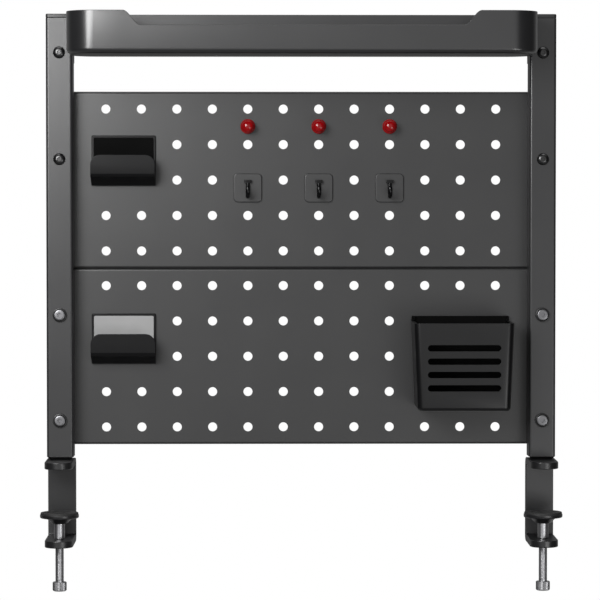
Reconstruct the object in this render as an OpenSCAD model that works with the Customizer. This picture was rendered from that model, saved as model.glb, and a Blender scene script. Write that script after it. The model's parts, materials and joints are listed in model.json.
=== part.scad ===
// Clamp-on desk pegboard wall: two square-tube uprights on screw clamps carry two
// perforated steel panels and a pen tray. Small accessories push into the peg holes.
//
// Frame: millimetres, +Z up, +X to the right, the front faces -Y. The origin is midway
// between the clamps, where the desk's top surface (z = 0) meets its back edge (y = 0).

/* [Frame] */
// Width over the outer faces of the two uprights
frame_w = 362.6; // [340:0.1:440]
// Side of the square upright tube
tube_side = 19; // [17:0.5:24]
// Wall of the upright tube
tube_wall = 1.2; // [0.8:0.1:2]
// Outside corner radius of the upright tube
tube_r = 2; // [1.6:0.1:3]
// Length of the upright tube
tube_len = 312; // [305:1:380]
// Height of the tube's lower end above the desk top
tube_foot_z = 7; // [6.5:0.1:12]
// Height of the head of an upright's top cap
cap_h = 3; // [2:0.1:6]
// Depth that a cap or foot plug reaches into its tube
plug_depth = 15; // [8:1:25]
// Gap between a plug and the tube wall around it
plug_gap = 0.1; // [0.05:0.05:0.4]

/* [Panels] */
// Pitch of the peg holes, both ways
pitch = 25.4; // [25:0.1:26]
// Diameter of a peg hole
hole_d = 6.5; // [5:0.1:8]
// Columns of peg holes in each panel
cols = 12; // [12:1:13]
// Rows of peg holes in each panel
rows = 5; // [5:1:5]
// Height of the seam between the two panels above the desk top
seam_z = 141; // [141:0.5:150]
// Thickness of the panel sheet
sheet_t = 1.2; // [0.8:0.1:1.6]
// Depth of the flange bent back along the top and bottom of a panel
flange_d = 12; // [8:0.5:18]
// Outside bend radius of the flanges
bend_r = 1.8; // [1.7:0.1:3]
// Amount that a panel's ear overlaps the back of an upright
ear_lap = 17; // [14:0.5:17.5]
// Amount that the end of a flange runs behind the upright beside it
flange_lap = 1; // [0.5:0.1:4]

/* [Fasteners] */
// Thread diameter of the frame screws
screw_d = 4; // [3:0.5:5]
// Extra diameter of a hole that a screw passes through
screw_gap = 0.5; // [0.2:0.1:0.8]
// Height of the lowest screws above the lower panel's bottom edge
low_screw = 18.5; // [12:0.1:40]
// Height of the second screws above the lower panel's bottom edge
second_screw = 93.8; // [60:0.1:112]
// Height of the third screws above the seam
third_screw = 78; // [20:0.1:110]
// Distance of the top screws below the tube's upper end
top_screw = 24.4; // [20:0.1:32]
// Head diameter of the black dome screws
dome_d = 8.6; // [7:0.1:10]
// Head height of the black dome screws
dome_h = 2.8; // [2:0.1:4]
// Head diameter of the silver socket screws
socket_d = 7.6; // [6:0.1:9]
// Head height of the silver socket screws
socket_h = 2.2; // [1.6:0.1:4]
// Outside diameter of the black cup washer under a silver screw
washer_d = 10; // [8.5:0.1:12]
// Thickness of the cup washer
washer_t = 1; // [0.6:0.1:2]
// Width across the flats of a frame nut
nut_af = 7; // [6:0.1:10]
// Thickness of a frame nut
nut_t = 3.2; // [2:0.1:5]

/* [Pen tray] */
// Amount that the tray's ends overlap the front of the uprights
tray_lap = 1.7; // [0:0.1:6]
// Depth of the tray from its back wall to its front
tray_d = 60; // [50:1:80]
// Height of the tray at its corners
tray_h = 29.8; // [24:0.1:40]
// Height of the tray's rim above the tube's upper end
tray_rise = 2.2; // [0:0.1:6]
// Thickness of the tray's sheet
tray_t = 1.5; // [1:0.1:2.5]
// Outside radius of the tray's upright corners
tray_r = 20; // [12:1:28]
// Outside radius between the tray's walls and its floor
tray_fillet = 3.6; // [2.5:0.1:6]
// Amount that the front lip is lower than the corners
lip_drop = 10.2; // [4:0.1:14]
// Length of each raised corner along the front
corner_len = 40; // [30:1:60]
// Length of the S-shaped step down to the lip
step_len = 12.5; // [8:0.5:25]
// Thickness of the crossbar that carries the tray
bar_t = 1.5; // [1:0.1:2.5]
// Height of the crossbar
bar_h = 20; // [14:1:24]

/* [Desk clamps] */
// Width of the clamp strip
clamp_w = 20; // [18:0.5:26]
// Thickness of the clamp strip
clamp_t = 5; // [4:0.1:6]
// Outside bend radius of the clamp strip
clamp_r = 5.5; // [5.2:0.1:7]
// Reach of the clamp arms in front of the desk's back edge
clamp_reach = 45; // [40:1:60]
// Space between the two arms
jaw_h = 50.5; // [45:0.5:70]
// Distance of the clamp screw in front of the desk's back edge
screw_y = 28; // [24:0.5:35]
// Thread diameter of the clamp screw
clamp_screw_d = 6; // [5:0.5:8]
// Pitch of the clamp screw's thread
clamp_pitch = 1; // [0.8:0.05:1.5]
// Travel of the pad from fully open
pad_travel = 24.5; // [15:0.5:28]
// Diameter of the pressure pad
pad_d = 27.6; // [24:0.2:34]
// Thickness of the pad's metal disc
pad_t = 2.7; // [2:0.1:4]
// Thickness of the rubber facing on the pad
liner_t = 1.2; // [0.6:0.1:2]
// Height of the cone under the pad's disc
pad_cone_h = 3.8; // [2:0.1:6]
// Length of the spacer sleeve between the pad and the lower arm
sleeve_len = 11; // [6:0.5:16]
// Wall of the spacer sleeve
sleeve_wall = 0.8; // [0.6:0.1:2]
// Diameter of the clamp screw's socket head
screw_head_d = 10; // [9:0.1:14]
// Height of the clamp screw's socket head
screw_head_h = 6.5; // [4:0.1:10]
// Running clearance, on the radius, around a clamp screw
run_gap = 0.06; // [0.02:0.01:0.1]

/* [Pegs] */
// Gap, on the radius, around a peg in its hole
peg_gap = 0.25; // [0.1:0.05:0.5]
// Length of a peg behind the panel's front face
peg_len = 5.4; // [4:0.1:8]
// Gap between an accessory's back and the panel
wall_gap = 0.15; // [0.05:0.05:0.5]

/* [Phone holders] */
// Width of a phone holder
holder_w = 46; // [40:0.5:60]
// Height of its back plate
holder_h = 36.6; // [34:0.1:60]
// Thickness of its sheet
holder_t = 1.6; // [1.2:0.1:2.5]
// Depth from the back of the plate to the front of the lip
holder_d = 18; // [14:0.5:30]
// Height of the front lip
holder_lip = 16; // [10:0.5:25]
// Rise of the sloping shelf from the back to the lip
holder_rise = 6.6; // [2:0.1:10]
// Radius of the lip's top corners
holder_r = 7; // [3:0.5:10]
// Thickness of the facing on the holder's back plate
facing_t = 0.8; // [0.5:0.1:1.5]
// Margin of bare plate around the facing
facing_margin = 1.6; // [0.5:0.1:4]

/* [Hooks and pins] */
// Side of a hook's square base plate
hook_plate = 20.2; // [16:0.1:25]
// Thickness of the base plate
hook_plate_t = 1.6; // [1:0.1:3]
// Corner radius of the base plate
hook_plate_r = 3; // [1:0.1:5]
// Diameter of the hook's wire
hook_wire = 3; // [2:0.1:4]
// Gap between the hook's shank and its tip
hook_gap = 6.4; // [5:0.1:12]
// Diameter of a pin's base
pin_d = 10.6; // [8:0.1:16]
// Length of a pin
pin_len = 12; // [8:0.5:20]
// Diameter of a pin's knob
pin_knob_d = 8.6; // [6:0.1:12]
// Diameter of the disc magnet in a pin
magnet_d = 7; // [4:0.1:9]
// Thickness of the disc magnet
magnet_t = 2; // [1:0.1:3]

/* [Pen box] */
// Width of the box at its rim
box_w = 70.6; // [68:0.1:100]
// Width of the box at its floor
box_w_low = 65.6; // [62:0.1:90]
// Height of the box's back wall
box_h = 65.4; // [60:0.1:100]
// Depth of the box
box_d = 50; // [40:1:70]
// Wall of the box
box_t = 2; // [1.2:0.1:3]
// Radius of the box's upright edges
box_r = 4; // [3:0.1:8]
// Amount that the front and sides are lower than the back wall
box_drop = 3.4; // [0:0.1:10]
// Number of slots in the front
slots = 4; // [1:1:6]
// Length of a slot
slot_len = 51.5; // [30:0.1:60]
// Width of a slot
slot_w = 4.4; // [3:0.1:6]
// Distance from slot to slot
slot_pitch = 9.4; // [8:0.1:12]

/* [Hidden] */
$fn = 48;
eps = 0.01;

tube_x = frame_w / 2 - tube_side / 2;
inner_x = frame_w / 2 - tube_side;
tube_in = tube_side - 2 * tube_wall;
tube_in_r = tube_r - tube_wall;
tube_top_z = tube_foot_z + tube_len;
panel_h = rows * pitch - 0.5;
screw_z = [seam_z - panel_h + low_screw, seam_z - panel_h + second_screw,
           seam_z + third_screw, tube_top_z - top_screw];
peg_d = hole_d - 2 * peg_gap;
grid_w = (cols - 1) * pitch;
grid_h = (rows - 1) * pitch;
ear_x = inner_x + ear_lap;
flange_x = inner_x + flange_lap;
pass_d = screw_d + screw_gap;

function col_x(c) = (c - (cols - 1) / 2) * pitch;
// rows count from the top of the upper panel
function row_z(r) = seam_z + (rows - 0.5 - r) * pitch;

tray_w = 2 * (inner_x + tray_lap);
tray_top_z = tube_top_z + tray_rise;
bar_bottom_z = tray_top_z - 4 - bar_h;
tray_z0 = tray_top_z - tray_h;
tray_y1 = -tube_side;
bar_screw_x = inner_x * 0.55;
bar_screw_z = bar_bottom_z + bar_h / 2;

pad_top_z = -jaw_h + 0.3 + sleeve_len + pad_cone_h + pad_t + liner_t;
pad_disc_z = pad_top_z - liner_t - pad_t;
sleeve_z = -jaw_h + 0.3;
sleeve_d = clamp_screw_d + 2 * sleeve_wall;
arm_low_z = -jaw_h - clamp_t;
head_top_z = arm_low_z - pad_travel - 1;
rivet_d = clamp_screw_d + 3;
rivet_t = 1.2;

holder_x = (col_x(0) + col_x(1)) / 2;
holder_top_rise = 6.3;
upper_holder_z = row_z(1) + holder_top_rise - holder_h;
lower_holder_z = row_z(6) + holder_top_rise - 0.6 - holder_h;
hook_cols = [4, 6, 8];
hook_z = row_z(2) - 5.9;
pin_z = (row_z(0) + row_z(1)) / 2;
box_x = col_x(10);
box_z0 = row_z(8) - 10.7;

BLACK = [0.06, 0.06, 0.065];
DARK = [0.2, 0.2, 0.205];
STEEL = [0.68, 0.68, 0.7];
RED = [0.62, 0.02, 0.03];

// ---------- shared shapes ----------

// rectangle with rounded corners, centred
module rounded_rect(w, d, r) {
  square([w - 2 * r, d], center = true);
  square([w, d - 2 * r], center = true);
  for (x = [-1, 1], y = [-1, 1])
    translate([x * (w / 2 - r), y * (d / 2 - r)]) circle(r);
}

// cylinder along Y from y0 to y1, so the axis is at x, z
module cyl_y(x, z, y0, y1, d) {
  translate([x, y0, z]) rotate([-90, 0, 0]) cylinder(h = y1 - y0, d = d);
}

// flat strip between two points of a 2-D side view, with round ends
module strip(p, q, t) {
  l = norm(q - p);
  translate(p) rotate(atan2(q[1] - p[1], q[0] - p[0]))
    translate([0, -t / 2]) square([l, t]);
  translate(p) circle(t / 2);
  translate(q) circle(t / 2);
}

// a side view drawn as [y, z], extruded along X from x0 to x1
module along_x(x0, x1) {
  translate([x0, 0, 0]) rotate([90, 0, 90]) linear_extrude(x1 - x0) children();
}

// a front view drawn as [x, z], extruded along Y from y0 to y1
module along_y(y0, y1) {
  translate([0, y1, 0]) rotate([90, 0, 0]) linear_extrude(y1 - y0) children();
}

module mirrored(side) {
  if (side < 0) mirror([1, 0, 0]) children(); else children();
}

// ---------- frame ----------

module upright(side) {
  color(DARK) difference() {
    translate([side * tube_x, -tube_side / 2, tube_foot_z]) linear_extrude(tube_len)
      difference() {
        rounded_rect(tube_side, tube_side, tube_r);
        rounded_rect(tube_in, tube_in, tube_in_r);
      }
    for (z = screw_z) cyl_y(side * tube_x, z, -tube_side - 1, 1, pass_d);
  }
}

module top_cap(side) {
  plug = tube_in - 2 * plug_gap;
  color(BLACK) translate([side * tube_x, -tube_side / 2, tube_top_z]) {
    linear_extrude(cap_h) rounded_rect(tube_side, tube_side, tube_r);
    translate([0, 0, -plug_depth]) linear_extrude(plug_depth) difference() {
      rounded_rect(plug, plug, tube_in_r);
      rounded_rect(plug - 3, plug - 3, 0.4);
    }
  }
}

module foot_plug(side) {
  plug = tube_in - 2 * plug_gap;
  flare = tube_foot_z - clamp_t;
  skirt = tube_side / 2 - 0.4;
  color(BLACK) translate([side * tube_x, -tube_side / 2, 0]) difference() {
    union() {
      translate([0, 0, tube_foot_z]) linear_extrude(plug_depth)
        rounded_rect(plug, plug, tube_in_r);
      // a flange that narrows towards the clamp
      intersection() {
        translate([-skirt, 0, 0]) rotate([90, 0, 90]) linear_extrude(2 * skirt)
          polygon([[-skirt, tube_foot_z], [skirt, tube_foot_z],
                   [skirt - flare, clamp_t], [flare - skirt, clamp_t]]);
        translate([0, skirt, 0]) rotate([90, 0, 0]) linear_extrude(2 * skirt)
          polygon([[-skirt, tube_foot_z], [skirt, tube_foot_z],
                   [skirt - flare, clamp_t], [flare - skirt, clamp_t]]);
      }
    }
    translate([0, 0, clamp_t - 1]) cylinder(h = plug_depth + flare, d = clamp_screw_d + 0.1);
  }
}

// one perforated sheet with flanges bent back along its top and bottom
module panel(z0) {
  z1 = z0 + panel_h;
  zc = z0 + panel_h / 2;
  inner_r = bend_r - sheet_t;
  color(DARK) union() {
    along_y(0, sheet_t) difference() {
      union() {
        translate([-ear_x, z0 + 3]) square([2 * ear_x, panel_h - 6]);
        translate([-flange_x, z0 + bend_r]) square([2 * flange_x, panel_h - 2 * bend_r]);
      }
      for (c = [0 : cols - 1], r = [0 : rows - 1])
        translate([col_x(c), zc + (r - (rows - 1) / 2) * pitch]) circle(d = hole_d);
      for (s = [-1, 1], z = screw_z)
        if (z > z0 && z < z1) translate([s * tube_x, z]) circle(d = pass_d);
    }
    for (top = [0, 1]) difference() {
      translate([0, 0, top ? z1 : z0]) mirror([0, 0, top]) along_x(-flange_x, flange_x) {
        translate([bend_r, bend_r]) difference() {
          circle(bend_r);
          circle(inner_r);
          translate([-bend_r - 1, 0]) square([2 * bend_r + 2, bend_r + 1]);
          translate([0, -bend_r - 1]) square([bend_r + 1, bend_r + 2]);
        }
        translate([bend_r, 0]) square([flange_d - bend_r, sheet_t]);
      }
      for (x = seam_bolt_x()) translate([x, flange_d / 2 + 1, z0 - 1])
        cylinder(h = panel_h + 2, d = pass_d);
    }
  }
}

function seam_bolt_x() = [-grid_w / 4, grid_w / 4];

module seam_bolts() {
  grip = 2 * sheet_t;
  color(BLACK) for (x = seam_bolt_x()) translate([x, flange_d / 2 + 1, seam_z]) {
    translate([0, 0, sheet_t]) cylinder(h = 2.2, d = 7);
    translate([0, 0, -sheet_t - nut_t]) cylinder(h = grip + nut_t, d = screw_d);
    translate([0, 0, -sheet_t - nut_t]) cylinder(h = nut_t, d = nut_af * 1.1547, $fn = 6);
  }
}

// ---------- fasteners through the uprights ----------

module frame_shaft(x, z, t) {
  cyl_y(x, z, -tube_side - t, sheet_t + nut_t, screw_d);
}

// dome head on the front of an upright
module dome_screw(x, z) {
  r = dome_d / 2;
  sphere_r = (r * r + dome_h * dome_h) / (2 * dome_h);
  difference() {
    union() {
      translate([x, -tube_side, z]) rotate([90, 0, 0]) intersection() {
        translate([0, 0, dome_h - sphere_r]) sphere(sphere_r, $fn = 64);
        cylinder(h = dome_h + 1, d = dome_d);
      }
      frame_shaft(x, z, eps);
    }
    translate([x, -tube_side - dome_h - 1, z]) rotate([-90, 0, 0])
      cylinder(h = 2.2, d = 2.9, $fn = 6);
  }
}

module socket_screw(x, z) {
  y = -tube_side - washer_t;
  difference() {
    union() {
      cyl_y(x, z, y - socket_h, y, socket_d);
      frame_shaft(x, z, washer_t + eps);
    }
    translate([x, y - socket_h - 1, z]) rotate([-90, 0, 0])
      cylinder(h = 2.4, d = 2.9, $fn = 6);
  }
}

module cup_washer(x, z) {
  y = -tube_side - washer_t;
  difference() {
    cyl_y(x, z, y - 1, -tube_side, washer_d);
    cyl_y(x, z, y - 2, y, socket_d + 0.4);
    cyl_y(x, z, y - 2, -tube_side + 1, pass_d);
  }
}

module frame_nut(x, z) {
  back = (z > seam_z + panel_h) ? bar_t : sheet_t;
  difference() {
    translate([x, back, z]) rotate([-90, 30, 0])
      cylinder(h = nut_t - (back - sheet_t), d = nut_af * 1.1547, $fn = 6);
    cyl_y(x, z, 0, back + nut_t + 1, screw_d + 0.04);
  }
}

// ---------- pen tray ----------

// the tray's wall and floor edge, drawn as [distance from the corner's centre, height]
function fillet_arc(r0, c, rr, n) =
  [for (i = [0 : n]) [r0 - c + rr * sin(i * 90 / n), c - rr * cos(i * 90 / n)]];

module tray_section(z1) {
  inner = [for (i = [6 : -1 : 0]) fillet_arc(tray_r, tray_fillet, tray_fillet - tray_t, 6)[i]];
  polygon(concat(
    fillet_arc(tray_r, tray_fillet, tray_fillet, 6),
    [[tray_r, z1], [tray_r - tray_t, z1]],
    inner));
}

// S-shaped edge from the raised corner down to the lip, as a fraction of its drop
function s_step(t) = (1 - cos(180 * t)) / 2;

module tray_body() {
  cx = tray_w / 2 - tray_r;
  cy = tray_d / 2 - tray_r;
  translate([0, tray_y1 - tray_d / 2, tray_z0]) {
    linear_extrude(tray_t)
      rounded_rect(tray_w - 2 * tray_fillet, tray_d - 2 * tray_fillet, tray_r - tray_fillet);
    for (s = [0, 1]) {
      rotate(180 * s) translate([-cx, cy, 0]) rotate([90, 0, 90])
        linear_extrude(2 * cx) tray_section(tray_h);
      rotate(180 * s) translate([cx, cy, 0]) rotate([90, 0, 0])
        linear_extrude(2 * cy) tray_section(tray_h);
      for (m = [0, 1]) mirror([m, 0, 0]) rotate(180 * s) translate([cx, cy, 0])
        rotate_extrude(angle = 90, $fn = 64) tray_section(tray_h);
    }
  }
}

module pen_tray() {
  xa = tray_w / 2 - corner_len;
  xb = xa - step_len;
  steps = [for (i = [0 : 12]) [xa - step_len * i / 12, tray_top_z - lip_drop * s_step(i / 12)]];
  color(DARK) difference() {
    tray_body();
    along_y(tray_y1 - tray_d - 1, tray_y1 - tray_d + tray_t + 1) polygon(concat(
      [[-xa, tray_top_z + 5], [xa, tray_top_z + 5]],
      steps,
      [for (i = [12 : -1 : 0]) [-steps[i][0], steps[i][1]]]));
    for (s = [-1, 1]) cyl_y(s * bar_screw_x, bar_screw_z, tray_y1 - 3, tray_y1 + 1, pass_d);
  }
}

// hat-shaped bar between the uprights: its web is behind the tray, its ears behind the tubes
module tray_crossbar() {
  low_z = screw_z[3] - 7;
  x0 = inner_x - 0.1;
  color(DARK) difference() {
    union() {
      translate([0, 0, bar_bottom_z]) linear_extrude(bar_h) {
        translate([-x0, -tube_side]) square([2 * x0, bar_t]);
        for (s = [-1, 1]) {
          translate([s * (x0 - bar_t / 2), -tube_side / 2 + bar_t / 2])
            square([bar_t, tube_side + bar_t], center = true);
          translate([s * (x0 + ear_lap) / 2 + s * x0 / 2 - s * (bar_t / 2), bar_t / 2])
            square([ear_lap + bar_t, bar_t], center = true);
        }
      }
      for (s = [-1, 1]) translate([s * (x0 + ear_lap / 2) - ear_lap / 2, 0, low_z])
        cube([ear_lap, bar_t, bar_bottom_z - low_z + 1]);
    }
    for (s = [-1, 1]) {
      cyl_y(s * tube_x, screw_z[3], -1, bar_t + 1, pass_d);
      cyl_y(s * bar_screw_x, bar_screw_z, -tube_side - 1, -tube_side + bar_t + 1, pass_d);
    }
  }
}

module tray_screws() {
  color(BLACK) for (s = [-1, 1]) {
    y = tray_y1 - tray_t;
    cyl_y(s * bar_screw_x, bar_screw_z, y - 2, y, 7.4);
    cyl_y(s * bar_screw_x, bar_screw_z, y - 1, -tube_side + bar_t + nut_t, screw_d);
    translate([s * bar_screw_x, -tube_side + bar_t, bar_screw_z]) rotate([-90, 30, 0])
      cylinder(h = nut_t, d = nut_af * 1.1547, $fn = 6);
  }
}

// ---------- desk clamps ----------

module clamp_bracket(side) {
  reach = clamp_reach - clamp_w / 2;
  h = jaw_h + 2 * clamp_t;
  color(BLACK) translate([side * tube_x, 0, 0]) difference() {
    union() {
      intersection() {
        along_x(-clamp_w / 2, clamp_w / 2) difference() {
          union() {
            translate([-clamp_reach - 1, arm_low_z]) square([clamp_reach + 1, h]);
            translate([-1, arm_low_z + clamp_r]) square([clamp_t + 1, h - 2 * clamp_r]);
            translate([-1, arm_low_z]) square([clamp_t + 1 - clamp_r, h]);
            for (z = [arm_low_z + clamp_r, clamp_t - clamp_r])
              translate([clamp_t - clamp_r, z]) circle(clamp_r);
          }
          translate([-clamp_reach - 2, -jaw_h]) square([clamp_reach + 2, jaw_h]);
        }
        union() {
          translate([-clamp_w / 2, -reach, arm_low_z - 1])
            cube([clamp_w, reach + clamp_t + 1, h + 2]);
          translate([0, -reach, arm_low_z - 1]) cylinder(h = h + 2, d = clamp_w);
        }
      }
    }
    translate([0, -screw_y, arm_low_z - 1])
      cylinder(h = clamp_t + 2, d = clamp_screw_d + 2 * run_gap);
    translate([0, -tube_side / 2, -1]) cylinder(h = clamp_t + 2, d = clamp_screw_d + 0.5);
    translate([0, -tube_side / 2, -1]) cylinder(h = 1.4, d = 11.6);
    translate([0, -tube_side / 2, 0.4 - eps])
      cylinder(h = 2.8 + eps, d1 = 11.6, d2 = clamp_screw_d + 0.5);
  }
}

// countersunk bolts up through the top arms into the foot plugs
module clamp_mount_bolts() {
  color(STEEL) for (s = [-1, 1]) translate([s * tube_x, -tube_side / 2, 0]) difference() {
    union() {
      translate([0, 0, 0.4]) cylinder(h = 2.6, d1 = 11.2, d2 = clamp_screw_d);
      translate([0, 0, 2.6]) cylinder(h = tube_foot_z + plug_depth - 4, d = clamp_screw_d);
    }
    translate([0, 0, -1]) cylinder(h = 3, d = 4.6, $fn = 6);
  }
}

module clamp_pad(side) {
  bore = clamp_screw_d + 2 * run_gap;
  color(BLACK) translate([side * tube_x, -screw_y, 0]) difference() {
    union() {
      translate([0, 0, pad_disc_z]) cylinder(h = pad_t, d = pad_d);
      translate([0, 0, pad_disc_z - pad_cone_h])
        cylinder(h = pad_cone_h, d1 = pad_d * 0.42, d2 = pad_d * 0.68);
    }
    translate([0, 0, pad_disc_z - pad_cone_h - 1])
      cylinder(h = pad_cone_h + pad_t + 2, d = bore);
    translate([0, 0, pad_disc_z + pad_t - rivet_t - 0.2])
      cylinder(h = rivet_t + 1, d = rivet_d + 0.6);
  }
}

module pad_facing(side) {
  color(BLACK) translate([side * tube_x, -screw_y, pad_top_z - liner_t])
    cylinder(h = liner_t, d = pad_d - 0.8);
}

// threaded rod with a socket head below, its upset end turns in the pad
module clamp_screw(side) {
  top = pad_disc_z + pad_t - 0.1;
  color(STEEL) translate([side * tube_x, -screw_y, 0]) difference() {
    union() {
      translate([0, 0, head_top_z - 1]) cylinder(h = top - head_top_z + 1, d = clamp_screw_d);
      translate([0, 0, top - rivet_t]) cylinder(h = rivet_t, d = rivet_d);
      translate([0, 0, head_top_z - screw_head_h]) cylinder(h = screw_head_h, d = screw_head_d);
    }
    translate([0, 0, head_top_z - screw_head_h - 1])
      cylinder(h = 4.2, d = 5 * 1.1547, $fn = 6);
  }
}

module screw_sleeve(side) {
  color(STEEL) translate([side * tube_x, -screw_y, sleeve_z]) difference() {
    cylinder(h = sleeve_len - 0.1, d = sleeve_d);
    translate([0, 0, -1]) cylinder(h = sleeve_len + 2, d = clamp_screw_d);
  }
}

// ---------- accessories ----------

// split push-in peg, its axis along Y
module peg(x, z) {
  difference() {
    union() {
      cyl_y(x, z, -wall_gap, peg_len - 1, peg_d);
      translate([x, peg_len - 1, z]) rotate([-90, 0, 0])
        cylinder(h = 1, d1 = peg_d, d2 = peg_d - 1.6);
    }
    translate([x - peg_d, sheet_t + 0.6, z - 0.6]) cube([2 * peg_d, peg_len, 1.2]);
  }
}

module phone_holder(z0) {
  t = holder_t;
  yb = -wall_gap - t / 2;
  yf = -wall_gap - holder_d + t / 2;
  zb = z0 + t / 2;
  zf = zb + holder_rise;
  zt = z0 + holder_rise + holder_lip;
  color(BLACK) difference() {
    along_x(holder_x - holder_w / 2, holder_x + holder_w / 2) {
      strip([yb, zb], [yb, z0 + holder_h - t / 2], t);
      strip([yb, zb], [yf, zf], t);
      strip([yf, zf], [yf, zt - t / 2], t);
    }
    // round the lip's top corners
    for (s = [-1, 1]) translate([holder_x + s * (holder_w / 2 - holder_r), 0, zt - holder_r])
      difference() {
        translate([s > 0 ? 0 : -holder_r - 1, yf - t, 0]) cube([holder_r + 1, 2 * t, holder_r + 1]);
        translate([0, yf - t - 1, 0]) rotate([-90, 0, 0]) cylinder(h = 2 * t + 2, r = holder_r);
      }
  }
}

module holder_facing(z0, tone) {
  w = holder_w - 2 * facing_margin;
  low = z0 + holder_t + 2.4;
  high = z0 + holder_h - facing_margin;
  y1 = -wall_gap - holder_t;
  color(tone) along_y(y1 - facing_t, y1) translate([holder_x, (low + high) / 2])
    rounded_rect(w, high - low, 1);
}

module holder_pegs(row) {
  color(BLACK) for (c = [0, 1], r = [row, row + 1]) peg(col_x(c), row_z(r));
}

// push pin with a flared base, a waist and a round knob
module pin(x) {
  r = pin_d / 2;
  k = pin_knob_d / 2;
  color(RED) translate([x, -wall_gap, pin_z]) rotate([90, 0, 0]) difference() {
    rotate_extrude() polygon([
      [0, 0], [r - 0.5, 0], [r, 0.5], [r, 2.1], [r - 0.5, 2.6], [3.2, 3.6], [2.9, 5.5],
      [3.1, 7.2], [k - 0.6, 8.2], [k, 8.9], [k, pin_len - 1], [k - 0.8, pin_len - 0.2],
      [k - 1.6, pin_len], [0, pin_len]
    ]);
    translate([0, 0, -1]) cylinder(h = magnet_t + 1.1, d = magnet_d + 0.1);
  }
}

module pin_magnet(x) {
  color(STEEL) translate([x, -wall_gap, pin_z]) rotate([90, 0, 0])
    cylinder(h = magnet_t, d = magnet_d);
}

module hook_plate_part(x) {
  color(DARK) {
    along_y(-wall_gap - hook_plate_t, -wall_gap) translate([x, hook_z])
      rounded_rect(hook_plate, hook_plate + 0.4, hook_plate_r);
    peg(x, row_z(2));
  }
}

// wire J hanging from a small block on the plate
module hook(x) {
  w = hook_wire;
  y0 = -wall_gap - hook_plate_t;
  ys = y0 - w / 2 - 0.05;
  r = (hook_gap + w) / 2;
  zb = hook_z - 7.7 + w / 2 + r;
  zblock = hook_z + 4.6;
  color(BLACK) {
    translate([x - 2.55, y0 - w - 0.6, zblock - 1.15]) cube([5.1, w + 0.6, 2.3]);
    translate([x, ys, zb]) cylinder(h = zblock - zb, d = w);
    translate([x, ys - r, zb]) rotate([0, 90, 0]) rotate([0, 0, -90])
      rotate_extrude(angle = 180) translate([r, 0]) circle(d = w);
    translate([x, ys - 2 * r, zb]) cylinder(h = 1.6, d = w);
    translate([x, ys - 2 * r, zb + 1.6]) sphere(d = w);
  }
}

// tapered shell shape shared by the box's outside and inside
module box_shape(w_low, w_high, d, z0, z1, r) {
  hull() for (e = [[z0, w_low], [z1, w_high]], s = [-1, 1]) {
    translate([box_x + s * (e[1] / 2 - r), -wall_gap - d + r, e[0]])
      cylinder(h = eps, r = r, $fn = 32);
    translate([box_x + s * (e[1] / 2 - 1), -wall_gap - 1, e[0]])
      cylinder(h = eps, r = 1, $fn = 32);
  }
}

module pen_box() {
  t = box_t;
  z1 = box_z0 + box_h;
  slope = (box_w - box_w_low) / box_h;
  color(BLACK) difference() {
    box_shape(box_w_low, box_w, box_d, box_z0, z1, box_r);
    translate([0, -t, 0]) box_shape(box_w_low - 2 * t, box_w - 2 * t + slope,
      box_d - 2 * t, box_z0 + t, z1 + 1, box_r - t);
    // the front and sides stop below the back wall
    translate([box_x - box_w, -wall_gap - box_d - 1, z1 - box_drop])
      cube([2 * box_w, box_d + 1 - t, box_drop + 1]);
    along_y(-wall_gap - box_d - 1, -wall_gap - box_d + t + 1)
      for (i = [0 : slots - 1])
        translate([box_x, box_z0 + box_h / 2 - 2.2 + ((slots - 1) / 2 - i) * slot_pitch])
          rounded_rect(slot_len, slot_w, slot_w / 2 - 0.01);
  }
}

module pen_box_pegs() {
  color(BLACK) for (c = [9, 11], r = [6, 8]) peg(col_x(c), row_z(r));
}

// ---------- draw ----------

upright(-1);  // left_upright
upright(1);  // right_upright
top_cap(-1);  // left_top_cap
top_cap(1);  // right_top_cap
foot_plug(-1);  // left_foot_plug
foot_plug(1);  // right_foot_plug
panel(seam_z);  // upper_panel
panel(seam_z - panel_h);  // lower_panel
seam_bolts();
pen_tray();
tray_crossbar();
tray_screws();
color(BLACK) for (s = [-1, 1], i = [2, 3]) dome_screw(s * tube_x, screw_z[i]);  // black_frame_screws
color(STEEL) for (s = [-1, 1], i = [0, 1]) socket_screw(s * tube_x, screw_z[i]);  // silver_frame_screws
color(BLACK) for (s = [-1, 1], i = [0, 1]) cup_washer(s * tube_x, screw_z[i]);  // cup_washers
color(STEEL) for (s = [-1, 1], z = screw_z) frame_nut(s * tube_x, z);  // frame_nuts
clamp_bracket(-1);  // left_clamp_bracket
clamp_bracket(1);  // right_clamp_bracket
clamp_mount_bolts();
clamp_pad(-1);  // left_clamp_pad
pad_facing(-1);  // left_pad_facing
clamp_screw(-1);  // left_clamp_screw
screw_sleeve(-1);  // left_screw_sleeve
clamp_pad(1);  // right_clamp_pad
pad_facing(1);  // right_pad_facing
clamp_screw(1);  // right_clamp_screw
screw_sleeve(1);  // right_screw_sleeve
phone_holder(upper_holder_z);  // upper_phone_holder
holder_facing(upper_holder_z, BLACK);  // upper_holder_facing
holder_pegs(1);  // upper_holder_pegs
phone_holder(lower_holder_z);  // lower_phone_holder
holder_facing(lower_holder_z, STEEL);  // lower_holder_facing
holder_pegs(6);  // lower_holder_pegs
pin(col_x(hook_cols[0]));  // left_pin
pin_magnet(col_x(hook_cols[0]));  // left_pin_magnet
pin(col_x(hook_cols[1]));  // middle_pin
pin_magnet(col_x(hook_cols[1]));  // middle_pin_magnet
pin(col_x(hook_cols[2]));  // right_pin
pin_magnet(col_x(hook_cols[2]));  // right_pin_magnet
hook_plate_part(col_x(hook_cols[0]));  // left_hook_plate
hook(col_x(hook_cols[0]));  // left_hook
hook_plate_part(col_x(hook_cols[1]));  // middle_hook_plate
hook(col_x(hook_cols[1]));  // middle_hook
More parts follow.
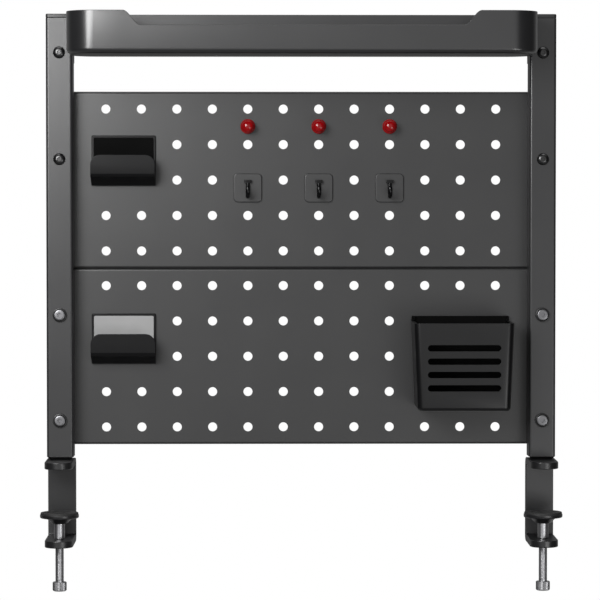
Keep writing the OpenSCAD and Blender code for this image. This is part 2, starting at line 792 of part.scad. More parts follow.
hook_plate_part(col_x(hook_cols[2]));  // right_hook_plate
hook(col_x(hook_cols[2]));  // right_hook
pen_box();
pen_box_pegs();
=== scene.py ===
# %% [markdown]
# # A clamp-on pegboard wall
#
# The CAD model gives every piece its size and place. This notebook dresses it: it sets the camera
# and a plain studio, makes one finish for each real material, gives those finishes to the pieces
# that already have the right shape, and models again the ones whose rounded edges, bends, threads
# or lathe-turned curves need more than the CAD surface. Lengths are worked in millimetres, the
# unit that such a product is drawn in, and each finished piece is scaled to metres once.

import json
import math

import bmesh
import bpy
from mathutils import Matrix, Vector


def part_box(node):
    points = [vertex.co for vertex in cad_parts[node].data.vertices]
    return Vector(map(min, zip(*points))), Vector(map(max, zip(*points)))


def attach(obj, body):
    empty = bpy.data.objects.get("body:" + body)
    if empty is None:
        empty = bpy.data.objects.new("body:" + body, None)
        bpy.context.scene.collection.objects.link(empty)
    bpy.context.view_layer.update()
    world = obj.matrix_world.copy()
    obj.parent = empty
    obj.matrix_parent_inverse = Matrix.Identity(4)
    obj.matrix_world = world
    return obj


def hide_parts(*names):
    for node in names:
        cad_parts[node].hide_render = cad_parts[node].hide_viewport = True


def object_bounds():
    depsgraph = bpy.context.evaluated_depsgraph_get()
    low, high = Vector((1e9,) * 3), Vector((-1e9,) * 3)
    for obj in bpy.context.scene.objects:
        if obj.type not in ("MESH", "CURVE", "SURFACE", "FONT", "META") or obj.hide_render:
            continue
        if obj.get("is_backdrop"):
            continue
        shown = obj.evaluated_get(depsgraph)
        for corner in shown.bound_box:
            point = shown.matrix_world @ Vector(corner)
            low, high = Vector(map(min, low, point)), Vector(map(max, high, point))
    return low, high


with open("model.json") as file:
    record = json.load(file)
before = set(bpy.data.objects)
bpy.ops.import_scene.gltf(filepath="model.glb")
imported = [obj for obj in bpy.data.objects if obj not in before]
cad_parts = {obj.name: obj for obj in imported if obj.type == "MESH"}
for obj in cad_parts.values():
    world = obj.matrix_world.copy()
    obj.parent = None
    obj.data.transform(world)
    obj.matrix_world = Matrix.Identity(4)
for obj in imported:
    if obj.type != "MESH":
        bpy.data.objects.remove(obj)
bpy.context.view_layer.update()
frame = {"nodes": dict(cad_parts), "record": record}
MM = 0.001

# %% [markdown]
# ## Camera
#
# A wall of holes looks best from far off through a long lens, because the grid of holes then
# stays square. The camera stands a little over two metres away, slightly left of the middle and a
# little above the seam between the panels, and looks down by two degrees. A short lens up close
# would show the sides of the tray and the tubes, which can't be seen here.

# %% Camera
camera_data = bpy.data.cameras.new("studio_camera")
camera_data.sensor_width = 36
camera_data.lens = 179.8
camera_data.clip_start, camera_data.clip_end = 0.1, 100
camera = bpy.data.objects.new("studio_camera", camera_data)
bpy.context.collection.objects.link(camera)
camera.location = (-0.029, -2.150, 0.196)
aim = Vector((-0.0007, 0.0, 0.1182))
camera.rotation_mode = "QUATERNION"
camera.rotation_quaternion = (aim - camera.location).to_track_quat("-Z", "Y")
bpy.context.scene.camera = camera
print("camera is", round((aim - camera.location).length, 3), "m from its aim")

# %% [markdown]
# ## One function for nodes
#
# Every material here is a small tree of nodes. A node needs a kind, a few settings, some numbers
# in its sockets and some links into them. One function that takes all four keeps a tree readable:
# each line is a node, and what feeds it is named beside it.

# %% Node helper and colours
def add_node(tree, kind, links=None, values=None, **settings):
    """Adds one node with its settings, socket numbers and incoming links."""
    node = tree.nodes.new(kind)
    for key, value in settings.items():
        setattr(node, key, value)
    for key, value in (values or {}).items():
        node.inputs[key].default_value = value
    for key, socket in (links or {}).items():
        tree.links.new(socket, node.inputs[key])
    return node


def linear(hex_colour):
    """An sRGB hex colour such as '#4A4A4B' as the linear RGBA that nodes take."""
    parts = [int(hex_colour[i:i + 2], 16) / 255 for i in (1, 3, 5)]
    return (*[c / 12.92 if c <= 0.04045 else ((c + 0.055) / 1.055) ** 2.4 for c in parts], 1.0)


print("mid grey is", round(linear("#808080")[0], 3), "in linear light")

# %% [markdown]
# ## Studio
#
# Black paint shows what it reflects more than what it is, so the studio is made of what should be
# seen in it. A pale card behind the camera gives the flat faces their even grey. The sides are
# much darker, and every rounded edge turns towards them and gets a dark outline. A second, wider
# card stands behind the wall, with a gap in its middle so that no side of a tube mirrors it to the
# front, and a soft ceiling hangs over everything, so that the back and the top can be read too.
# One soft box stands close by on the upper left: being near, it brightens that corner of the wall
# and dies away across it. A weak one low on the right stops the far corner from sinking, a wide
# strip overhead lights the top edges, and one more stands behind, where only the back sees it. The
# floor is plain and pale to look at, but sends back little light, so undersides stay dark.

# %% Sky and floor
world = bpy.data.worlds.new("white_studio")
bpy.context.scene.world = world
world.use_nodes = True
sky = world.node_tree
sky.nodes.clear()
seen = add_node(sky, "ShaderNodeLightPath")
toward = add_node(sky, "ShaderNodeTexCoord")
split = add_node(sky, "ShaderNodeSeparateXYZ", {"Vector": toward.outputs["Generated"]})
behind_camera = add_node(sky, "ShaderNodeMath", {0: split.outputs["Y"]}, {1: -1.0},
                         operation="MULTIPLY")
front_card = add_node(sky, "ShaderNodeMapRange", {"Value": behind_camera.outputs[0]},
                      {"From Min": 0.74, "From Max": 0.95, "To Min": 0.06, "To Max": 0.93},
                      interpolation_type="SMOOTHSTEP")
back_card = add_node(sky, "ShaderNodeMapRange", {"Value": split.outputs["Y"]},
                     {"From Min": 0.30, "From Max": 0.75, "To Min": 0.0, "To Max": 0.22},
                     interpolation_type="SMOOTHSTEP")
gap = add_node(sky, "ShaderNodeMapRange", {"Value": split.outputs["Y"]},
               {"From Min": 0.955, "From Max": 0.985, "To Min": 1.0, "To Max": 0.04},
               interpolation_type="SMOOTHSTEP")
split_card = add_node(sky, "ShaderNodeMath", {0: back_card.outputs["Result"],
                                              1: gap.outputs["Result"]}, operation="MULTIPLY")
ceiling = add_node(sky, "ShaderNodeMapRange", {"Value": split.outputs["Z"]},
                   {"From Min": 0.40, "From Max": 0.85, "To Min": 0.0, "To Max": 0.5},
                   interpolation_type="SMOOTHSTEP")
cards = add_node(sky, "ShaderNodeMath", {0: front_card.outputs["Result"],
                                         1: split_card.outputs[0]}, operation="ADD")
fall = add_node(sky, "ShaderNodeMath", {0: cards.outputs[0], 1: ceiling.outputs["Result"]},
                operation="ADD")
ambient = add_node(sky, "ShaderNodeBackground", {"Strength": fall.outputs[0]},
                   {"Color": (1, 1, 1, 1)})
paper = add_node(sky, "ShaderNodeBackground", None, {"Color": (1, 1, 1, 1), "Strength": 1.0})
both = add_node(sky, "ShaderNodeMixShader", {0: seen.outputs["Is Camera Ray"],
                                             1: ambient.outputs[0], 2: paper.outputs[0]})
add_node(sky, "ShaderNodeOutputWorld", {"Surface": both.outputs[0]})

floor_paint = bpy.data.materials.new("white_sweep_paper")
floor_paint.use_nodes = True
sweep = floor_paint.node_tree
sweep.nodes.clear()
seen = add_node(sweep, "ShaderNodeLightPath")
matte = add_node(sweep, "ShaderNodeBsdfDiffuse", None, {"Color": linear("#5A5A5A")})
glow = add_node(sweep, "ShaderNodeEmission", None, {"Color": (1, 1, 1, 1), "Strength": 1.0})
both = add_node(sweep, "ShaderNodeMixShader", {0: seen.outputs["Is Camera Ray"],
                                               1: matte.outputs[0], 2: glow.outputs[0]})
add_node(sweep, "ShaderNodeOutputMaterial", {"Surface": both.outputs[0]})

FLOOR_RADIUS, FLOOR_Z = 1.2, -0.42
sheet = bmesh.new()
bmesh.ops.create_circle(sheet, cap_ends=True, radius=FLOOR_RADIUS, segments=64)
bmesh.ops.translate(sheet, verts=sheet.verts, vec=(0, 0, FLOOR_Z))
floor_mesh = bpy.data.meshes.new("studio_floor")
sheet.to_mesh(floor_mesh)
sheet.free()
floor_mesh.materials.append(floor_paint)
floor = bpy.data.objects.new("studio_floor", floor_mesh)
bpy.context.collection.objects.link(floor)
floor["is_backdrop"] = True
bpy.context.scene.view_settings.view_transform = "Standard"
bpy.context.scene.view_settings.look = "None"
print("floor lies", round(-FLOOR_Z / MM), "mm under the desk top's height")

# %% Lamps
def softbox(name, at, to, width, height, watts):
    """A rectangular area lamp at one point, turned to another."""
    data = bpy.data.lights.new(name, "AREA")
    data.shape, data.size, data.size_y, data.energy = "RECTANGLE", width, height, watts
    lamp = bpy.data.objects.new(name, data)
    bpy.context.collection.objects.link(lamp)
    lamp.location = at
    lamp.rotation_mode = "QUATERNION"
    lamp.rotation_quaternion = (Vector(to) - Vector(at)).to_track_quat("-Z", "Z")
    lamp.visible_camera = False
    print(name, "gives", round(watts / (math.pi * width * height), 2), "W per m2 and steradian")
    return lamp


softbox("key_softbox", (-0.475, -0.90, 0.50), (-0.17, 0, 0.30), 0.44, 0.50, 13.2)
softbox("overhead_strip", (0.0, -0.35, 1.6), (0, 0, 0.2), 1.4, 0.6, 7)
softbox("low_fill", (0.80, -1.30, -0.40), (0.17, 0, -0.05), 0.8, 0.5, 6)
back_lamp = softbox("back_softbox", (0.5, 1.5, 0.7), (0, 0, 0.12), 1.0, 0.8, 140)
back_lamp.visible_glossy = False  # or the tray's far edge would glint at the front

# %% [markdown]
# ## Finishes
#
# Each finish starts from what the real material is and how its surface was made. The coordinates
# are the object's own, in metres, so a pattern that repeats every millimetre has a scale of 1000.
# The grain of real powder coat is too fine to see from two metres; the bump is kept at its true
# spacing and low height, so it only softens the reflections there, and it shows in close views.

# %% Start of every finish
def finish(name):
    """A new material with its shader, and its object coordinates."""
    material = bpy.data.materials.new(name)
    material.use_nodes = True
    tree = material.node_tree
    tree.nodes.clear()
    shader = add_node(tree, "ShaderNodeBsdfPrincipled")
    add_node(tree, "ShaderNodeOutputMaterial", {"Surface": shader.outputs[0]})
    place = add_node(tree, "ShaderNodeTexCoord")
    return material, tree, shader, place.outputs["Object"]


def set_shader(shader, **numbers):
    """Sets the shader's own sockets: Base_Color stands for Base Color, and so on."""
    for key, value in numbers.items():
        shader.inputs[key.replace("_", " ")].default_value = value


# %% [markdown]
# ### Powder coat
#
# Powder coat is a dry polymer paint that is baked on. It flows into a satin skin with a faint
# orange peel of about a millimetre between bumps. Two noises make it: a broad one, with patches
# of four or five centimetres, varies the tone and the gloss by a few percent, as uneven thickness
# does, and a fine one lifts the surface by some microns. A fine change of gloss was left out,
# because under a near lamp it turns into a sandy speckle that a satin skin doesn't have. The same
# recipe serves the tubes, the sheets, the tray and the clamps. Tubes, sheets and tray differ in
# how dark and how smooth they came out; the clamps' coat is darker still, as painted shade for
# the shadow that falls on the clamp arms under the uprights. The tray has a smoother layer on
# top, which sharpens its corner highlight.

# %% Powder coat
def powder_coat(name, dark, light, rough, grain_mm=0.9, peel_mm=0.006, ior=1.5,
                gloss_layer=0.0):
    """Satin powder coat between two greys, with a smoother layer on top if it has one."""
    material, tree, shader, place = finish(name)
    broad = add_node(tree, "ShaderNodeTexNoise", {"Vector": place},
                     {"Scale": 22.0, "Detail": 3.0, "Roughness": 0.55})
    tone = add_node(tree, "ShaderNodeMix", {"Factor": broad.outputs["Fac"]}, data_type="RGBA")
    tone.inputs["A"].default_value, tone.inputs["B"].default_value = linear(dark), linear(light)
    tree.links.new(tone.outputs["Result"], shader.inputs["Base Color"])
    fine = add_node(tree, "ShaderNodeTexNoise", {"Vector": place},
                    {"Scale": 1 / (grain_mm * MM), "Detail": 2.0, "Roughness": 0.5})
    gloss = add_node(tree, "ShaderNodeMapRange", {"Value": broad.outputs["Fac"]},
                     {"From Min": 0.25, "From Max": 0.75, "To Min": rough - 0.015,
                      "To Max": rough + 0.02})
    tree.links.new(gloss.outputs["Result"], shader.inputs["Roughness"])
    peel = add_node(tree, "ShaderNodeBump", {"Height": fine.outputs["Fac"]},
                    {"Strength": 0.35, "Distance": peel_mm * MM})
    tree.links.new(peel.outputs["Normal"], shader.inputs["Normal"])
    set_shader(shader, IOR=ior, Coat_Weight=gloss_layer, Coat_Roughness=0.16)
    return material


finishes = {
    "powder_coated_tube": powder_coat("satin_powder_coat_on_tube", "#1E1E1F", "#242425", 0.30),
    "powder_coated_sheet": powder_coat("satin_powder_coat_on_sheet", "#202021", "#262626", 0.32),
    "powder_coated_tray": powder_coat("satin_powder_coat_on_tray", "#171718", "#1B1B1C", 0.30,
                                      gloss_layer=0.35),
    # the clamps' darker greys are painted shade, for the shadow under the uprights
    "powder_coated_clamp": powder_coat("satin_powder_coat_on_clamp_with_painted_shade", "#121213", "#171718", 0.30),
    "black_holder_steel": powder_coat("black_powder_coat_on_bent_sheet", "#080809", "#0D0D0E",
                                      0.24, ior=1.28, grain_mm=0.7, peel_mm=0.005),
}
print("powder coats:", len(finishes))

# %% [markdown]
# ### Moulded plastic, rubber and foam
#
# Caps and plugs are moulded nylon: black, dull, with the fine even grain of a spark-eroded mould.
# The pen box is smoother and shows a soft gloss. Rubber is duller still. The holder's facing is a
# cut foam sheet, whose open cells show as a fine speckle, drawn from a cell pattern of half a
# millimetre. The light grey of the lower holder's facing is a painted reflection: it stands for a
# softbox mirrored in that holder, where the upper one shows black. The pins are moulded in red
# acrylic and need a sharp coat for their gloss. The IOR of a plastic is near 1.5. Where a lower
# one is given, as on the box, the pins, the holders and the foam, it is no measured value: with
# 1.5 these pieces look too pale beside the sheets.

# %% Plastics
def moulded(name, dark, light, rough, grain_mm, height_mm, ior=1.5):
    """Moulded plastic or rubber with an even mould grain."""
    material, tree, shader, place = finish(name)
    grain = add_node(tree, "ShaderNodeTexVoronoi", {"Vector": place},
                     {"Scale": 1 / (grain_mm * MM)}, feature="SMOOTH_F1")
    broad = add_node(tree, "ShaderNodeTexNoise", {"Vector": place},
                     {"Scale": 60.0, "Detail": 2.0})
    tone = add_node(tree, "ShaderNodeMix", {"Factor": broad.outputs["Fac"]}, data_type="RGBA")
    tone.inputs["A"].default_value, tone.inputs["B"].default_value = linear(dark), linear(light)
    tree.links.new(tone.outputs["Result"], shader.inputs["Base Color"])
    bumps = add_node(tree, "ShaderNodeBump", {"Height": grain.outputs["Distance"]},
                     {"Strength": 0.3, "Distance": height_mm * MM})
    tree.links.new(bumps.outputs["Normal"], shader.inputs["Normal"])
    set_shader(shader, Roughness=rough, IOR=ior)
    return material


finishes["black_nylon"] = moulded("moulded_black_nylon", "#0B0B0C", "#101011", 0.42, 0.5, 0.02)
finishes["black_box_plastic"] = moulded("moulded_black_polypropylene", "#070708", "#0B0B0C",
                                        0.30, 0.8, 0.008, ior=1.37)
finishes["black_rubber"] = moulded("moulded_black_rubber", "#101010", "#171717", 0.7, 0.6, 0.04)
finishes["black_facing"] = moulded("cut_black_foam_rubber", "#050505", "#080808", 0.66, 0.5, 0.03,
                                   ior=1.1)
# the lower holder's facing: its light grey is a painted reflection of a softbox
finishes["grey_facing"] = moulded("grey_foam_with_painted_softbox_reflection", "#7E7E7E", "#888888",
                                  0.6, 0.5, 0.03)

# the box's inside is darker than its outside, painted shade for the hollow of the box, and dull,
# so it sends back little gloss
box_inside_painted_shade = moulded("dull_polypropylene_with_painted_shade", "#040404", "#070707", 0.7, 0.8, 0.01,
                     ior=1.12)

red, tree, shader, place = finish("glossy_moulded_red_acrylic")
depth = add_node(tree, "ShaderNodeTexNoise", {"Vector": place}, {"Scale": 180.0, "Detail": 1.0})
tone = add_node(tree, "ShaderNodeMix", {"Factor": depth.outputs["Fac"]}, data_type="RGBA")
tone.inputs["A"].default_value = linear("#6E0306")
tone.inputs["B"].default_value = linear("#7C0508")
tree.links.new(tone.outputs["Result"], shader.inputs["Base Color"])
set_shader(shader, Roughness=0.13, IOR=1.33, Coat_Weight=0.15, Coat_Roughness=0.05)
finishes["red_gloss_plastic"] = red
print("plastics ready, finishes so far:", len(finishes))

# %% [markdown]
# ### Screws, magnets and wire
#
# The clamp screws are zinc plated: a pale metal, a little cloudy, with turning marks round the
# shaft. Real marks lie about a tenth of a millimetre apart, too fine to see, so a wave pattern
# along the screw's axis draws them 2.1 mm apart, as a faint change of gloss. The magnets have
# bright nickel. The black screws are blackened under oil and the hook wire is dipped in lacquer:
# what is seen of both is a dark skin and not bare metal, so their metallic value is 0.

# %% Metals
def bare_metal(name, tint, rough, rough_spread, mark_mm=2.094, metallic=1.0, ior=None):
    """Bare, plated or blackened metal with faint turning marks."""
    material, tree, shader, place = finish(name)
    marks = add_node(tree, "ShaderNodeTexWave", {"Vector": place},
                     {"Scale": math.tau / (20 * mark_mm * MM), "Distortion": 1.5, "Detail": 2.0},
                     bands_direction="Z")
    clouds = add_node(tree, "ShaderNodeTexNoise", {"Vector": place},
                      {"Scale": 260.0, "Detail": 3.0})
    blend = add_node(tree, "ShaderNodeMath", {0: marks.outputs["Fac"], 1: clouds.outputs["Fac"]},
                     operation="MULTIPLY")
    gloss = add_node(tree, "ShaderNodeMapRange", {"Value": blend.outputs[0]},
                     {"From Min": 0.0, "From Max": 0.6, "To Min": rough,
                      "To Max": rough + rough_spread})
    tree.links.new(gloss.outputs["Result"], shader.inputs["Roughness"])
    set_shader(shader, Base_Color=linear(tint), Metallic=metallic)
    if ior:
        set_shader(shader, IOR=ior)
    return material


finishes["zinc_screw_steel"] = bare_metal("zinc_plated_turned_steel", "#A4A4A6", 0.34, 0.05)
finishes["nickel_magnet"] = bare_metal("nickel_plated_magnet", "#C9C5BC", 0.14, 0.08)
finishes["black_screw_steel"] = bare_metal("blackened_oiled_steel", "#0A0A0B", 0.22, 0.1,
                                           metallic=0.0, ior=1.55)
finishes["black_hook_wire"] = bare_metal("black_dipped_steel_wire", "#030304", 0.16, 0.06,
                                         metallic=0.0, ior=1.33)

slots = {part["node"]: part["material_slot"] for part in frame["record"]["subparts"]}
for name, cad in frame["nodes"].items():
    cad.data.materials.clear()
    cad.data.materials.append(finishes[slots[name]])
print("finishes:", len(finishes), "given to", len(frame["nodes"]), "CAD nodes")

# %% [markdown]
# ## Finishing a modelled piece
#
# A piece is drawn in millimetres with bmesh operators, then handed to one function. It scales the
# mesh to metres, points the faces outwards, shades it smooth with true edges kept sharp, and can
# add a thickness and a rounded edge. The rounded edge matters most: a real sheet or casting has no
# knife edge, and the thin bright line that a small radius catches is what makes metal look like
# metal. The piece then rides on its CAD body, takes over its CAD node and gets its finish.

# %% Finishing function
def finish_piece(bm, name, body, node, wall=0.0, edge=0.0, segments=3, sharp=35, fix=True):
    """Turns a bmesh drawn in mm into a finished piece that stands for a CAD node."""
    bmesh.ops.remove_doubles(bm, verts=bm.verts, dist=0.002)
    if fix:
        bmesh.ops.recalc_face_normals(bm, faces=bm.faces)
    bmesh.ops.scale(bm, vec=(MM, MM, MM), verts=bm.verts)
    mesh = bpy.data.meshes.new(name)
    bm.to_mesh(mesh)
    bm.free()
    for face in mesh.polygons:
        face.use_smooth = True
    mesh.set_sharp_from_angle(angle=math.radians(sharp))
    piece = bpy.data.objects.new(name, mesh)
    bpy.context.collection.objects.link(piece)
    if wall:
        shell = piece.modifiers.new("wall", "SOLIDIFY")
        shell.thickness, shell.offset = wall * MM, -1
        shell.use_even_offset = True
    if edge:
        rim = piece.modifiers.new("edge", "BEVEL")
        rim.width, rim.segments = edge * MM, segments
        rim.limit_method, rim.angle_limit = "ANGLE", math.radians(sharp)
        rim.harden_normals = True
    mesh.materials.append(finishes[slots[node]])
    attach(piece, body)
    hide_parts(node)
    print(name, "has", len(mesh.polygons), "faces")
    return piece


def box_mm(node):
    """A CAD node's lowest and highest corners in mm."""
    low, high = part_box(node)
    return Vector(low) / MM, Vector(high) / MM


def centre_mm(node):
    """The middle of a CAD node's box in mm."""
    low, high = box_mm(node)
    return (low + high) / 2


low, high = box_mm("pen_tray")
print("the pen tray measures", [round(v, 1) for v in high - low], "mm")

# %% [markdown]
# ## Rounded plates
#
# Caps, pads and base plates are all flat pieces with rounded corners. A grid of one face is the
# start; bevelling its corner vertices rounds them, and extruding the face gives it a thickness.

# %% Rounded plate helper
def rounded_plate(bm, width, depth, radius, height, matrix, arc=8):
    """A plate of width by depth, from z 0 to height, moved by a matrix."""
    made = bmesh.ops.create_grid(bm, x_segments=1, y_segments=1, size=0.5)["verts"]
    bmesh.ops.scale(bm, vec=(width, depth, 1), verts=made)
    faces = {f for v in made for f in v.link_faces}
    rounded = bmesh.ops.bevel(bm, geom=made, offset=radius, offset_type="OFFSET", segments=arc,
                              profile=0.5, affect="VERTICES", material=-1)
    faces = {f for v in rounded["verts"] for f in v.link_faces} | {f for f in faces if f.is_valid}
    top = bmesh.ops.extrude_face_region(bm, geom=list(faces))["geom"]
    raised = [v for v in top if isinstance(v, bmesh.types.BMVert)]
    bmesh.ops.translate(bm, vec=(0, 0, height), verts=raised)
    verts = {v for f in faces for v in f.verts} | set(raised)
    bmesh.ops.transform(bm, matrix=matrix, verts=list(verts))
    return list(verts)


FACE_FRONT = Matrix.Rotation(math.radians(90), 4, "X")  # a plate's top then faces the front, -Y

for side in ("left", "right"):
    low, high = box_mm(side + "_top_cap")
    cap = bmesh.new()
    seat = box_mm(side + "_upright")[1].z
    middle = (low + high) / 2
    rounded_plate(cap, high.x - low.x, high.y - low.y, 2.0, high.z - seat,
                  Matrix.Translation((middle.x, middle.y, seat)))
    rounded_plate(cap, 16.4, 16.4, 0.8, seat - low.z - 0.01,
                  Matrix.Translation((middle.x, middle.y, low.z)), arc=3)
    finish_piece(cap, side + "_cap_moulding", "wall", side + "_top_cap", edge=0.7)

# %% [markdown]
# ## Pen tray
#
# The tray is pressed from one sheet: a flat floor, walls that turn up through a tight bend, round
# corners, and a front lip that steps down in an S between the two raised corners so that pens can
# be reached. Extruding an outline and bending it would need many hand-placed rings, so the shape
# is grown instead: a rounded outline, walls pulled up from its rim, the fold bevelled round, and
# the top edge of the front wall lowered by a smooth step. A solidify modifier then gives the
# outer skin its thickness inwards, and a bevel rolls the rim.

# %% Pen tray
TRAY_CORNER, TRAY_FOLD, TRAY_SHEET, ROLLED_RIM = 20, 3.6, 1.5, 0.45
low, high = box_mm("pen_tray")
tray = bmesh.new()
bmesh.ops.create_grid(tray, x_segments=1, y_segments=1, size=0.5)
bmesh.ops.scale(tray, vec=(high.x - low.x, high.y - low.y, 1), verts=tray.verts)
bmesh.ops.bevel(tray, geom=tray.verts[:], offset=TRAY_CORNER, offset_type="OFFSET",
                segments=20, profile=0.5, affect="VERTICES", material=-1)
centre = (low + high) / 2
bmesh.ops.translate(tray, vec=(centre.x, centre.y, low.z), verts=tray.verts)
rim = bmesh.ops.extrude_edge_only(tray, edges=[e for e in tray.edges if e.is_boundary])["geom"]
rim = [v for v in rim if isinstance(v, bmesh.types.BMVert)]
bmesh.ops.translate(tray, vec=(0, 0, high.z - low.z), verts=rim)
fold = [e for e in tray.edges if all(abs(v.co.z - low.z) < 0.01 for v in e.verts)]
bmesh.ops.bevel(tray, geom=fold, offset=TRAY_FOLD, offset_type="OFFSET", segments=7,
                profile=0.5, affect="EDGES", material=-1)
STEP_OUT, STEP_IN, STEPS, DROP = high.x - 40.0, high.x - 52.5, 16, 10.2
for i in range(STEPS + 1):
    x = STEP_OUT + (STEP_IN - STEP_OUT) * i / STEPS
    for side in (-1, 1):
        bmesh.ops.bisect_plane(tray, geom=tray.verts[:] + tray.edges[:] + tray.faces[:],
                               plane_co=(side * x, 0, 0), plane_no=(1, 0, 0), dist=0.001)
for vert in tray.verts:
    if vert.co.z > high.z - 0.01 and vert.co.y < low.y + 0.01:
        t = min(max((STEP_OUT - abs(vert.co.x)) / (STEP_OUT - STEP_IN), 0), 1)
        vert.co.z -= DROP * (1 - math.cos(math.pi * t)) / 2
finish_piece(tray, "pressed_pen_tray", "wall", "pen_tray", wall=TRAY_SHEET,
             edge=ROLLED_RIM, sharp=40)

# %% [markdown]
# ## Turned pieces
#
# Screw heads, pads, sleeves and pins are round about one axis. Each is a short profile of points,
# given as radius and height, that the spin operator carries once round the axis. A hexagon socket
# is made the way a forge makes it: the end face is inset to a hexagon and that is pushed down.

# %% Lathe and socket helpers
def turn(bm, profile, at, axis=(0, 0, 1), steps=40):
    """Spins a profile of (radius, height) pairs round an axis through a point."""
    turned = Vector((0, 0, 1)).rotation_difference(Vector(axis)).to_matrix().to_4x4()
    place = Matrix.Translation(at) @ turned
    verts = [bm.verts.new(place @ Vector((r, 0, h))) for r, h in profile]
    edges = [bm.edges.new(pair) for pair in zip(verts, verts[1:])]
    made = bmesh.ops.spin(bm, geom=verts + edges, cent=at, axis=axis, angle=math.tau,
                          steps=steps, use_merge=True)
    bmesh.ops.remove_doubles(bm, verts=bm.verts, dist=0.002)
    return made


def socket(bm, at, axis, outer, flats, depth, steps=40):
    """Closes a round hole of radius outer with a face that holds a hexagon socket."""
    turned = Vector((0, 0, 1)).rotation_difference(Vector(axis)).to_matrix().to_4x4()
    place = Matrix.Translation(at) @ turned
    ring = bmesh.ops.create_circle(bm, cap_ends=False, radius=outer, segments=steps,
                                   matrix=place)["verts"]
    hexagon = bmesh.ops.create_circle(bm, cap_ends=False, radius=flats / math.sqrt(3),
                                      segments=6, matrix=place)["verts"]
    loops = [e for v in ring + hexagon for e in v.link_edges]
    loops = [e for e in set(loops) if e.is_wire]
    bmesh.ops.bridge_loops(bm, edges=loops)
    walls = bmesh.ops.extrude_edge_only(
        bm, edges=[e for e in {e for v in hexagon for e in v.link_edges}
                   if e.is_boundary and all(v in hexagon for v in e.verts)])["geom"]
    deep = [v for v in walls if isinstance(v, bmesh.types.BMVert)]
    bmesh.ops.translate(bm, vec=Vector(axis).normalized() * -depth, verts=deep)
    bmesh.ops.contextual_create(bm, geom=deep)
    bmesh.ops.remove_doubles(bm, verts=bm.verts, dist=0.002)


print("a 2.9 mm key needs a hexagon", round(2.9 * 2 / math.sqrt(3), 2), "mm over its corners")

# %% [markdown]
# ## Frame screws
#
# The upper four are black dome-head screws, whose polished crown shows one bright spot. The lower
# four are small silver socket heads that sit in black cup washers. Both are modelled from a
# profile and keep their shafts, which run through the tube to the nuts behind it.

# %% Frame screws
DOME_R, SILVER_R, SHAFT_R = 4.3, 3.8, 2.0
front = Vector((0, -1, 0))
tube = centre_mm("right_upright").x
tube_face = box_mm("right_upright")[0].y
low, high = box_mm("black_frame_screws")
black_z = [low.z + DOME_R, high.z - DOME_R]
domes = bmesh.new()
for z in black_z:
    for x in (-tube, tube):
        at = Vector((x, tube_face, z))
        curve = [(DOME_R * math.cos(math.radians(a)), 0.25 + 2.55 * math.sin(math.radians(a)))
                 for a in range(0, 66, 9)]
        turn(domes, [(SHAFT_R, -(high.y - tube_face)), (SHAFT_R, 0), (DOME_R, 0)] + curve,
             at, front)
        crown = curve[-1]
        socket(domes, at + front * crown[1], front, crown[0], 2.5, 1.6)
        turn(domes, [(0, -(high.y - tube_face)), (SHAFT_R, -(high.y - tube_face))], at, front)
finish_piece(domes, "black_dome_screws", "wall", "black_frame_screws", sharp=40)

low, high = box_mm("silver_frame_screws")
silver_z = [low.z + SILVER_R, high.z - SILVER_R]
caps = bmesh.new()
for z in silver_z:
    for x in (-tube, tube):
        at = Vector((x, tube_face - 1.0, z))
        turn(caps, [(0, -(high.y - at.y)), (SHAFT_R, -(high.y - at.y)), (SHAFT_R, 0),
                    (SILVER_R, 0), (SILVER_R, 1.7), (3.65, 2.05), (3.3, 2.2), (2.4, 2.2)],
             at, front)
        socket(caps, at + front * 2.2, front, 2.4, 2.9, 1.5)
silver = finish_piece(caps, "silver_socket_screws", "wall", "silver_frame_screws", sharp=40)
# these heads get a darker, duller zinc than the turned clamp screws
silver.data.materials[0] = bare_metal("darker_zinc_plated_screw_head", "#6A6A6C", 0.36, 0.06)

cups = bmesh.new()
for z in silver_z:
    for x in (-tube, tube):
        turn(cups, [(2.25, 0), (5.0, 0), (5.0, 1.5), (4.8, 1.9), (4.45, 2.0), (4.1, 1.8),
                    (4.0, 1.0), (2.25, 1.0), (2.25, 0)], Vector((x, tube_face, z)), front)
finish_piece(cups, "black_cup_washers", "wall", "cup_washers", sharp=40)

# %% [markdown]
# ## Clamp brackets
#
# Each bracket is one strip of thick steel bent into a C, with its two ends rounded. A real one is
# cut flat and bent in a brake, so the bends have an outside radius and a tighter inside one. Here
# the C is drawn from the side as one face, its corners are bevelled to those radii, the face is
# extruded to the strip's width, and the four upright edges at the tips are bevelled to a half
# circle each.

